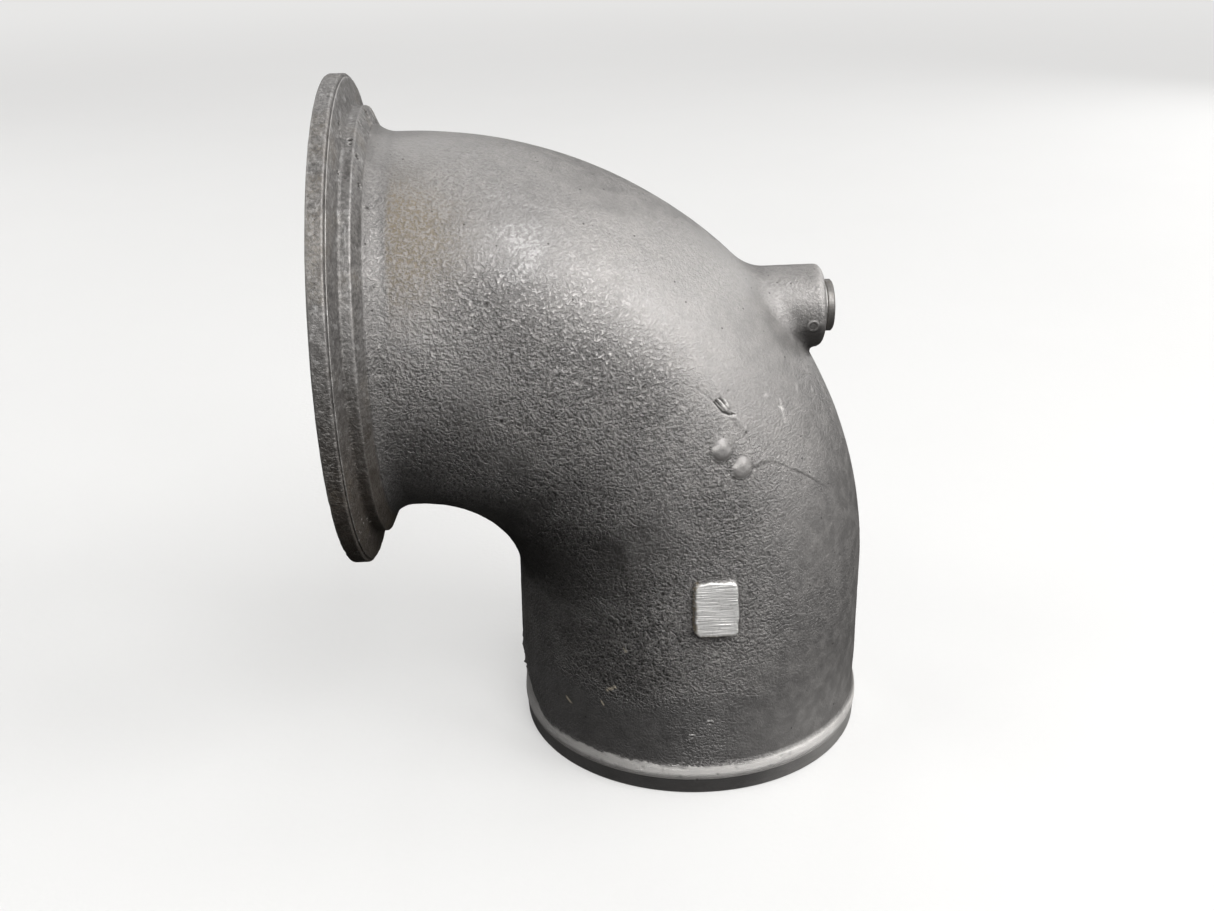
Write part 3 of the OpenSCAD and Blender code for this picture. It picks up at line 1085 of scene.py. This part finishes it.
class Paint:
    """A node material built step by step; a value can be a number, a colour or a field."""

    def __init__(self, name):
        self.material = bpy.data.materials.new(name)
        self.material.use_nodes = True
        self.tree = self.material.node_tree
        self.shader = self.tree.nodes["Principled BSDF"]
        self.place = self.make("ShaderNodeTexCoord", "Object", {})

    def put(self, socket, value):
        if isinstance(value, Field):
            self.tree.links.new(value.socket, socket)
        elif isinstance(value, tuple) and len(value) == 3 and socket.type == "RGBA":
            socket.default_value = (*value, 1)
        else:
            socket.default_value = value

    def make(self, kind, output, inputs, **options):
        """A new node with its inputs and options set; gives the field of one output."""
        node = self.tree.nodes.new(kind)
        for key, value in options.items():
            setattr(node, key, value)
        for key, value in inputs.items():
            self.put(node.inputs[key], value)
        return Field(self, node.outputs[output])

    def mask(self, name):
        return self.make("ShaderNodeAttribute", "Fac", {}, attribute_name=name)

    def math(self, operation, a, b):
        return self.make("ShaderNodeMath", 0, {0: a, 1: b}, operation=operation)

    def mix(self, a, b, share, blend="MIX"):
        inputs = {"Factor": share, 6: a, 7: b}
        return self.make("ShaderNodeMix", 2, inputs, data_type="RGBA", blend_type=blend)

    def cover(self, colour, *layers):
        """Lays tints over a colour, each given as the tint and its share."""
        for tint, share in layers:
            colour = self.mix(colour, tint, share)
        return colour

    def ramp(self, value, low, high, start=0.0, end=1.0):
        """Goes smoothly from start to end as the value goes from low to high."""
        inputs = {"Value": value, "From Min": low, "From Max": high, "To Min": start, "To Max": end}
        return self.make("ShaderNodeMapRange", "Result", inputs, interpolation_type="SMOOTHSTEP")

    def stretch(self, x, y, z):
        inputs = {0: self.place, 1: (x, y, z)}
        return self.make("ShaderNodeVectorMath", 0, inputs, operation="MULTIPLY")

    def noise(self, size, detail=3.0, where=None, rough=0.55):
        """Noise with features about one size across, in metres."""
        inputs = {"Vector": where or self.place, "Scale": 1 / size, "Detail": detail,
                  "Roughness": rough}
        return self.make("ShaderNodeTexNoise", "Fac", inputs)

    def patches(self, size, detail, low, high, start=0.0, end=1.0):
        """Noise with its levels from low to high spread out from start to end."""
        return self.ramp(self.noise(size, detail), low, high, start, end)

    def lines(self, width):
        """Fine lines left by the lathe: noise along the vertices' track only."""
        inputs = {"W": self.mask("track"), "Scale": 1 / width, "Detail": 2.0}
        return self.make("ShaderNodeTexNoise", "Fac", inputs, noise_dimensions="1D")

    def dots(self, cell, share, radius):
        """Small round dots, in a share of the cells of a random pattern: 1 inside them."""
        inputs = {"Vector": self.place, "Scale": 1 / cell}
        far = self.make("ShaderNodeTexVoronoi", "Distance", inputs)
        random = Field(self, far.socket.node.outputs["Color"])
        chosen = self.math("LESS_THAN", random, share_level(share))
        return self.ramp(far, radius / cell, 0.5 * radius / cell) * chosen

    def bump(self, *layers):
        """A normal with several layers of relief, each given as its height and depth."""
        normal = None
        for height, depth in layers:
            inputs = {"Distance": depth, "Height": height}
            if normal:
                inputs["Normal"] = normal
            normal = self.make("ShaderNodeBump", "Normal", inputs)
        return normal

    def finish(self, colour, metallic, roughness, normal):
        for key, value in (("Base Color", colour), ("Metallic", metallic),
                           ("Roughness", roughness), ("Normal", normal)):
            self.put(self.shader.inputs[key], value)
        return self.material


CAST_MID = (0.255, 0.245, 0.235)
CAST_DARK = (0.145, 0.140, 0.137)
CAST_LIGHT = (0.46, 0.445, 0.43)
TURNED = (0.90, 0.872, 0.84)
FILED = (1.0, 0.985, 0.96)
LEAD_SHADE = (0.098, 0.094, 0.091)
# Painted shade for the down-facing lead
FLANGE_DULL = (0.112, 0.107, 0.103)
FLANGE_BARE = (0.187, 0.180, 0.173)
BLOOM = (0.34, 0.334, 0.327)
RUST = (0.135, 0.102, 0.058)
BROWN = (0.095, 0.075, 0.055)
DIRT = (0.20, 0.16, 0.095)
PALE_SPECK = (0.62, 0.54, 0.42)
# Near-black: painted shade in creases, recesses and under the boss, and the colour of grime and
# pores
SHADE_AND_GRIME = (0.035, 0.032, 0.030)
# Gains for the painted highlight on the grain's raised points and the painted shade in its low
# points
PEAK_HIGHLIGHT = (3.0, 3.0, 3.0)
DIP_SHADE = (0.18, 0.18, 0.18)


def skin_colour(p, mottle, grain, folds):
    """Blasted grey skin with painted shade, bloom, painted light clouds, and a grain that is
    lightened on its raised points as a painted highlight and darkened in its low points as painted
    shade.
    """
    rough_skin = p.mask("rough")
    tone = (p.patches(0.030, 4.0, 0.30, 0.72) + mottle) * 0.35 + 0.3
    colour = p.cover(
        p.mix(CAST_DARK, CAST_MID, tone),
        # Painted shade on the inner bend, under the boss and the neck, and low on the outer side
        (SHADE_AND_GRIME, p.mask("soot") * 0.68),
        # painted shade low on the inlet leg
        (CAST_DARK, p.mask("band") * 0.65),
        (FLANGE_DULL, p.mask("dull") * 0.25),
        (CAST_DARK, p.mask("shade") * 0.55),
        (BLOOM, p.mask("frost") * p.patches(0.0010, 4.0, 0.43, 0.60)),
        # painted light
        (CAST_LIGHT, p.mask("pale")),
    )
    # Painted highlight on the grain's raised points; painted shade in its low points and in the
    # folds' low points
    lit_peaks = p.ramp(grain, 0.55, 0.68, 0.0, 0.20) * rough_skin
    shaded_dips = p.ramp(grain, 0.48, 0.34, 0.0, 0.55) * rough_skin
    shaded_hollows = p.ramp(folds, 0.50, 0.34, 0.0, 0.36) * rough_skin
    colour = p.mix(colour, PEAK_HIGHLIGHT, lit_peaks, "MULTIPLY")
    colour = p.mix(colour, DIP_SHADE, shaded_dips | shaded_hollows, "MULTIPLY")
    return p.mix(colour, SHADE_AND_GRIME, p.dots(0.0026, 0.11, 0.00038) * 0.85)


def machined_colour(p, lathe):
    """Bright turned metal with lathe lines and dull patches, painted shade on the down-facing lead,
    and painted shade on the inner side.
    """
    return p.cover(
        TURNED,
        (CAST_MID, p.ramp(lathe, 0.5, 0.75, 0.0, 0.3)),
        (CAST_DARK, p.patches(0.004, 5.0, 0.58, 0.80, 0.0, 0.5)),
        # painted shade on the down-facing lead
        (LEAD_SHADE, p.mask("lead") * 0.98),
        # painted shade on the inner side of the turned surfaces
        (CAST_DARK, p.mask("sooty") * 0.60),
    )


def corroded_colour(p):
    """The flange: dull, grimy and scraped, darker and browner towards the bottom, with pores and
    painted glints.
    """
    low = p.mask("low")
    pores = p.patches(0.0016, 3.0, 0.66, 0.69) * p.mask("pores")
    scrapes = p.noise(0.0021, 5.0, p.stretch(1.0, 0.7, 1.0))
    return p.cover(
        FLANGE_DULL,
        (FLANGE_BARE, p.patches(0.0009, 3.0, 0.36, 0.66)),
        (SHADE_AND_GRIME, p.patches(0.0026, 5.0, 0.50, 0.36, 0.0, 0.42)),
        (BLOOM, p.ramp(scrapes, 0.55, 0.66, 0.0, 0.45)),
        # painted glints in flecks on the rim
        (CAST_LIGHT, p.patches(0.0017, 4.0, 0.56, 0.64) * p.mask("fleck") * 0.7),
        # darker and mottled towards the bottom
        (SHADE_AND_GRIME, p.patches(0.0030, 5.0, 0.48, 0.34, 0.10, 0.75) * low),
        (BLOOM, p.mask("shoulder") * 0.05),
        (BROWN, low * 0.60),
        (SHADE_AND_GRIME, pores * 0.95),
        (SHADE_AND_GRIME, (p.dots(0.0022, 0.2, 0.0003) | pores * 0.5) * 0.8),
        # painted glints
        (TURNED, p.dots(0.0018, 0.5, 0.00045) * p.mask("glint")),
    )


def pad_colour(p, scratches):
    """Bright filed metal with the file's scratches and dull spots."""
    return p.cover(
        FILED,
        (CAST_LIGHT, p.ramp(scratches, 0.50, 0.66, 0.0, 0.35)),
        (CAST_LIGHT, p.patches(0.0008, 2.0, 0.55, 0.70, 0.0, 0.4)),
    )


def cast_iron_paint():
    """Blasted grey iron with turned ends, a filed pad, rust, pale bloom, worn edges with a painted
    highlight along them, and painted shade in the creases.
    """
    p = Paint("cast_iron")
    turned, flange, filed = p.mask("turned"), p.mask("flange"), p.mask("filed")
    crease, rough_skin = p.mask("crease"), p.mask("rough")
    mottle = p.patches(0.0045, 4.0, 0.30, 0.72)
    grain = p.noise(0.00072, 3.0, p.stretch(0.95, 0.95, 1.05))
    folds = p.noise(0.0017, 2.0, p.stretch(1.3, 1.3, 0.9), 0.5)
    scratches = p.noise(0.00042, 2.0, p.stretch(0.05, 0.05, 1.0))
    lathe = p.lines(0.00016)
    rust = p.mask("rust") * p.patches(0.0011, 4.0, 0.25, 0.60, 0.35, 1.0)
    rust = rust * p.ramp(grain, 0.42, 0.57, 1.0, 0.35)
    colour = p.cover(
        skin_colour(p, mottle, grain, folds),
        (machined_colour(p, lathe), turned),
        (corroded_colour(p), flange),
        (pad_colour(p, scratches), filed),
        # painted shade inside the bore
        (SHADE_AND_GRIME, p.mask("bore") * 0.55),
        (RUST, rust * 0.75),
        # worn edges with a painted highlight along them
        (CAST_LIGHT, p.mask("edge") * 0.5),
        # painted shade in creases
        (SHADE_AND_GRIME, crease * 0.7),
        # painted shade in the cracks and the flange's pore holes
        (SHADE_AND_GRIME, (p.mask("crack") | p.mask("hole")) * 0.85),
        (TURNED, p.mask("worn")),
        (PALE_SPECK, p.mask("speck")),
        (DIRT, p.mask("dirt") * p.patches(0.0012, 3.0, 0.36, 0.60) * 0.8),
    )
    rough = p.ramp(mottle, 0.0, 1.0, 0.47, 0.56) - filed * 0.10 + (rust | crease) * 0.25
    coarse = rough_skin * (rough_skin + 0.15)
    normal = p.bump(
        (folds * coarse, 0.0008),
        (p.ramp(grain, 0.40, 0.60) * (coarse + flange * 0.10 + p.mask("low") * 0.40), 0.00033),
        (p.noise(0.0004, 2.0) * (1.0 - (turned | filed)), 0.00008),
        (lathe * turned, 0.00007),
        (scratches * filed, 0.00022),
    )
    return p.finish(colour, 0.72 - rust * 0.6, rough, normal)


def steel_paint(name, light, dark, roughness, stain):
    """Bright steel with lathe lines, dull patches, worn edges with a painted highlight along them,
    and painted shade in creases.
    """
    p = Paint(name)
    lathe = p.lines(0.00012)
    dull = p.patches(0.0022, 4.0, 0.35, 0.70)
    colour = p.cover(
        light,
        (dark, dull * 0.7),
        (dark, p.ramp(lathe, 0.48, 0.72, 0.0, 0.5)),
        (stain, p.patches(0.0009, 3.0, 0.55, 0.75, 0.0, 0.6)),
        # worn edges with a painted highlight along them, and painted shade in creases
        (light, p.mask("edge")),
        (SHADE_AND_GRIME, p.mask("crease") * 0.7),
    )
    rough = p.ramp(dull, 0.0, 1.0, roughness, roughness + 0.14)
    normal = p.bump((lathe, 0.00002), (p.noise(0.0005, 2.0), 0.00004))
    return p.finish(colour, 0.9, rough, normal)


FLOOR_LOW = (0.27, 0.268, 0.264)
FLOOR_HIGH = (0.29, 0.288, 0.284)
BACKDROP = (0.97, 0.965, 0.955)


def floor_paint():
    """A pale, matt studio floor with a faint mottle, seen only from above."""
    p = Paint("studio_floor")
    colour = p.mix(FLOOR_LOW, FLOOR_HIGH, p.noise(0.12, 3.0))
    behind = p.make("ShaderNodeNewGeometry", "Backfacing", {})
    far = p.make("ShaderNodeVectorMath", "Value", {0: p.place}, operation="LENGTH")
    p.put(p.shader.inputs["Alpha"], 1.0 - behind)
    p.put(p.shader.inputs["Emission Color"], BACKDROP)
    p.put(p.shader.inputs["Emission Strength"], p.ramp(far, 0.2, 2.4, 0.42, 0.80))
    return p.finish(colour, 0.0, 0.85, p.bump((p.noise(0.002, 3.0), 0.0001)))


# ---------------------------------------------------------------- plug and washer


def turned_points(profile, columns):
    """Rings of points about the port's axis; profile holds (x, r or r at each column)."""
    angle = np.linspace(0, 2 * math.pi, columns, endpoint=False)
    rings = []
    for x, r in profile:
        r = np.broadcast_to(r, angle.shape)
        x = np.broadcast_to(x, angle.shape)
        rings.append(np.stack([x, r * np.cos(angle), AXIS_Z + r * np.sin(angle)], axis=-1))
    return np.array(rings)


PITCH = 1.0 * MM
THREAD_DEPTH = 0.55 * MM
THREAD_STEPS = 12
SOCKET_R = 2.5 * MM
SOCKET_DEPTH = 5.0 * MM
COLLAR_BEVEL = 0.45 * MM
PLUG_COLUMNS = 96


def plug_profile(angle):
    """The plug from its inner end out to the floor of its hexagon socket."""
    crest = PORT_R - 0.05 * MM
    end, seat, face = PLUG_LOW.x, PLUG_SEAT, PLUG_HIGH.x
    neck = seat - 1.1 * MM
    profile = [(end, r) for r in (0.8 * MM, 2.0 * MM, 3.2 * MM, crest - THREAD_DEPTH - 0.25 * MM)]
    count = int(round((neck - end - 0.4 * MM) / PITCH * THREAD_STEPS))
    for x in np.linspace(end + 0.2 * MM, neck, count):
        phase = (x / PITCH - angle / (2 * math.pi)) % 1.0
        groove = np.clip(1.25 - 2.5 * np.abs(phase - 0.5), 0, 1)
        fade = smooth(x, end, end + 1.2 * MM) * smooth(neck - x, 0, 0.8 * MM)
        depth = mix(THREAD_DEPTH, THREAD_DEPTH * groove, fade)
        profile.append((x, crest - depth))
    relief = crest - THREAD_DEPTH
    profile += [(x, relief) for x in spaced(neck, seat - 0.2 * MM, 0.25 * MM)]
    profile += [(seat, relief + 0.2 * MM), (seat, crest + 0.4 * MM)]
    profile += [(seat, r) for r in spaced(crest + 0.4 * MM, COLLAR_R - 0.2 * MM, 0.5 * MM)]
    profile += arc_points((seat + 0.2 * MM, COLLAR_R - 0.2 * MM), 0.2 * MM, 180, 90, 4)[1:]
    profile += [(x, COLLAR_R) for x in spaced(seat + 0.2 * MM, face - COLLAR_BEVEL, 0.3 * MM)]
    profile += [(face - COLLAR_BEVEL * (1 - t), COLLAR_R - COLLAR_BEVEL * t) for t in (0.5, 0.95)]
    mouth = SOCKET_R / math.cos(math.pi / 6) + 0.25 * MM
    profile += [(face, r) for r in spaced(COLLAR_R - COLLAR_BEVEL * 1.1, mouth, 0.4 * MM)]
    flat = (angle + math.pi / 6) % (math.pi / 3) - math.pi / 6
    hexagon = SOCKET_R / np.cos(flat)
    profile.append((face - 0.02 * MM, mouth - 0.04 * MM))
    profile += [(face - (mouth - hexagon), hexagon)]
    profile += [(x, hexagon) for x in spaced(face - 0.7 * MM, face - SOCKET_DEPTH, 0.5 * MM)]
    profile += [(face - SOCKET_DEPTH, hexagon * 0.9), (face - SOCKET_DEPTH - 0.3 * MM, 1.4 * MM)]
    profile.append((face - SOCKET_DEPTH - 0.7 * MM, 0.5 * MM))
    return profile


def make_steel(shell, track, wear, gain, paint, names):
    """A steel piece with its surface moved by wear, a function that gives millimetres; names holds
    the object, the body, the node and the slot, and the slot is not used; gain scales the worn
    edges, which carry a painted highlight, and the painted shade in creases."""
    points, quads, triangles = shell.arrays()
    normals = vertex_normals(points, quads, triangles)
    points = points + normals * wear(points)[:, None] * MM
    bulge = curvature(points, normals, quads) * MM * gain
    # Worn edges with a painted highlight, and painted shade in creases
    masks = {"track": track, "edge": np.clip(bulge, 0, 1), "crease": np.clip(-bulge, 0, 1)}
    name, body, node, slot = names
    return make_object(name, points, quads, triangles, body, node, paint, masks)


def collar_wear(points):
    """Dents in the plug's collar; the thread stays true."""
    dents = 0.02 * noise(points / MM, 0.9, 151) + 0.03 * noise(points / MM, 3.0, 152)
    return dents * smooth(points[:, 0], PLUG_SEAT + 0.3 * MM, PLUG_SEAT + 0.6 * MM)


def add_plug():
    angle = np.linspace(0, 2 * math.pi, PLUG_COLUMNS, endpoint=False)
    rings = turned_points(plug_profile(angle), PLUG_COLUMNS)
    shell = Shell()
    ids = shell.add(rings)
    shell.skin(ids)
    start = shell.add([[PLUG_LOW.x, 0, AXIS_Z]])[0]
    end = shell.add([[PLUG_HIGH.x - SOCKET_DEPTH - 0.85 * MM, 0, AXIS_Z]])[0]
    for k in range(PLUG_COLUMNS):
        after = (k + 1) % PLUG_COLUMNS
        shell.triangles.append((start, ids[0, k], ids[0, after]))
        shell.triangles.append((end, ids[-1, after], ids[-1, k]))
    paint = steel_paint("plug_steel", (0.20, 0.193, 0.184), (0.12, 0.115, 0.110), 0.50,
                        (0.15, 0.12, 0.09))
    return make_steel(shell, np.append(ring_track(rings), [0, 0]), collar_wear, 0.35, paint,
                      ("visual_plug", "plug", "port_plug", "plug"))


def washer_wear(points):
    """Unevenness of the washer's rim."""
    rim = smooth(np.hypot(points[:, 1], points[:, 2] - AXIS_Z), WASHER_R - 0.3 * MM, WASHER_R)
    return 0.03 * rim * noise(points / MM, 1.5, 161)


def add_washer():
    """A flat sealing ring with rounded corners, pressed a little unevenly."""
    inner, low, high = PORT_R + 0.1 * MM, WASHER_LOW.x, WASHER_HIGH.x
    corner = 0.18 * MM
    profile = [(low, r) for r in np.linspace(inner + corner, WASHER_R - corner, 6)[:-1]]
    profile += arc_points((low + corner, WASHER_R - corner), corner, 180, 90, 4)
    profile += arc_points((high - corner, WASHER_R - corner), corner, 90, 0, 4)
    profile += [(high, r) for r in np.linspace(WASHER_R - corner, inner + corner, 6)[1:-1]]
    profile += arc_points((high - corner, inner + corner), corner, 0, -90, 4)
    profile += arc_points((low + corner, inner + corner), corner, -90, -180, 4)[:-1]
    rings = turned_points(profile, PLUG_COLUMNS)
    shell = Shell()
    shell.skin(shell.add(rings), close_rows=True)
    paint = steel_paint("washer_metal", (0.30, 0.292, 0.282), (0.20, 0.193, 0.186), 0.44,
                        (0.34, 0.28, 0.20))
    return make_steel(shell, ring_track(rings), washer_wear, 0.25, paint,
                      ("visual_washer", "washer", "plug_washer", "washer"))


def add_casting():
    shell, tracks = casting_shell()
    points, quads, triangles = shell.arrays()
    points, s, pad = dress_casting(points, quads, triangles)
    normals = vertex_normals(points, quads, triangles)
    masks = casting_masks(points, normals, quads, s, pad)
    masks["track"] = tracks
    return make_object("visual_casting", points, quads, triangles, "casting", "elbow_casting",
                       cast_iron_paint(), masks)


# ---------------------------------------------------------------- studio


def add_floor():
    """A wide floor just under the casting, with a gentle sweep up far behind it."""
    reach, step = 6.0, 0.25
    across = np.arange(-reach, reach + step / 2, step)
    x, y = np.meshgrid(across, across, indexing="ij")
    far = np.maximum(np.hypot(x, y) - 3.0, 0)
    shell = Shell()
    ids = shell.add(np.stack([x, y, -0.0001 + 0.3 * far ** 2], axis=-1))
    shell.skin(ids, close_columns=False)
    points, quads, triangles = shell.arrays()
    mesh = bpy.data.meshes.new("studio_floor")
    mesh.from_pydata(points.tolist(), [], quads.tolist())
    mesh.shade_smooth()
    mesh.materials.append(floor_paint())
    floor = bpy.data.objects.new("studio_floor", mesh)
    bpy.context.scene.collection.objects.link(floor)
    floor.visible_glossy = False
    floor.visible_diffuse = False


# Soft square lamps: name, compass direction from the part in degrees, height above it, power
LAMPS = (
    ("right_high", 333, 45, 10.0),
    ("front_high", 288, 45, 10.6),
    ("left_high", 198, 45, 5.1),
    ("right_low", 324, 15, 5.0),
    ("side_low", 0, 15, 2.4),
    ("side_high", 18, 45, 2.9),
    ("top", 0, 75, 2.2),
    ("back_high", 90, 45, 3.6),
    ("back_low", 47, 15, 3.2),
    ("back_left_low", 144, 15, 2.2),
    ("back_left_high", 140, 45, 2.2),
    ("left_low", 180, 15, 2.0),
    ("front_left_low", 252, 15, 2.7),
)
LAMP_SIZE = 0.5
LAMP_DISTANCE = 1.2
LAMP_TARGET = Vector((-0.015, 0.0, 0.095))


def add_light(name, azimuth, elevation, power):
    """A soft square lamp that looks at the middle of the part."""
    a, e = math.radians(azimuth), math.radians(elevation)
    away = Vector((math.cos(e) * math.cos(a), math.cos(e) * math.sin(a), math.sin(e)))
    data = bpy.data.lights.new(name, "AREA")
    data.shape = "SQUARE"
    data.size = LAMP_SIZE
    data.energy = power
    lamp = bpy.data.objects.new(name, data)
    lamp.location = LAMP_TARGET + away * LAMP_DISTANCE
    lamp.rotation_euler = (-away).to_track_quat("-Z", "Y").to_euler()
    bpy.context.scene.collection.objects.link(lamp)


WORLD_GLOW = 0.01
WORLD_SEEN = 0.80


def add_world():
    """Faint light from all round; the camera itself sees a pale backdrop past the floor."""
    world = bpy.data.worlds.new("studio")
    world.use_nodes = True
    tree = world.node_tree
    back = tree.nodes["Background"]
    back.inputs["Color"].default_value = (*BACKDROP, 1)
    seen = tree.nodes.new("ShaderNodeMath")
    seen.operation = "MULTIPLY_ADD"
    rays = tree.nodes.new("ShaderNodeLightPath")
    tree.links.new(rays.outputs["Is Camera Ray"], seen.inputs[0])
    seen.inputs[1].default_value = WORLD_SEEN - WORLD_GLOW
    seen.inputs[2].default_value = WORLD_GLOW
    tree.links.new(seen.outputs["Value"], back.inputs["Strength"])
    bpy.context.scene.world = world


IMAGE_W = 1214
FOCAL = 1439.7
SENSOR = 36.0
EYE = Vector((-38.29, -387.22, 252.35)) * MM
PITCH_DOWN = 0.410405
YAW = 0.036223
ROLL = -0.024511


def add_camera():
    """The camera, with its place and tilt found from the outline of the object."""
    ahead = Vector((math.sin(YAW) * math.cos(PITCH_DOWN), math.cos(YAW) * math.cos(PITCH_DOWN),
                    -math.sin(PITCH_DOWN)))
    level = Vector((math.cos(YAW), -math.sin(YAW), 0))
    up = level.cross(ahead)
    right = math.cos(ROLL) * level + math.sin(ROLL) * up
    top = right.cross(ahead)
    data = bpy.data.cameras.new("camera")
    data.sensor_width = SENSOR
    data.lens = FOCAL / IMAGE_W * SENSOR
    data.clip_start, data.clip_end = 0.01, 50
    camera = bpy.data.objects.new("camera", data)
    turn = Matrix((right, top, -ahead)).transposed().to_4x4()
    camera.matrix_world = Matrix.Translation(EYE) @ turn
    bpy.context.scene.collection.objects.link(camera)
    bpy.context.scene.camera = camera


bpy.context.scene.view_settings.view_transform = "Standard"
add_casting()
add_plug()
add_washer()
add_floor()
for name, azimuth, elevation, power in LAMPS:
    add_light(name, azimuth, elevation, power)
add_world()
add_camera()

bpy.context.view_layer.update()
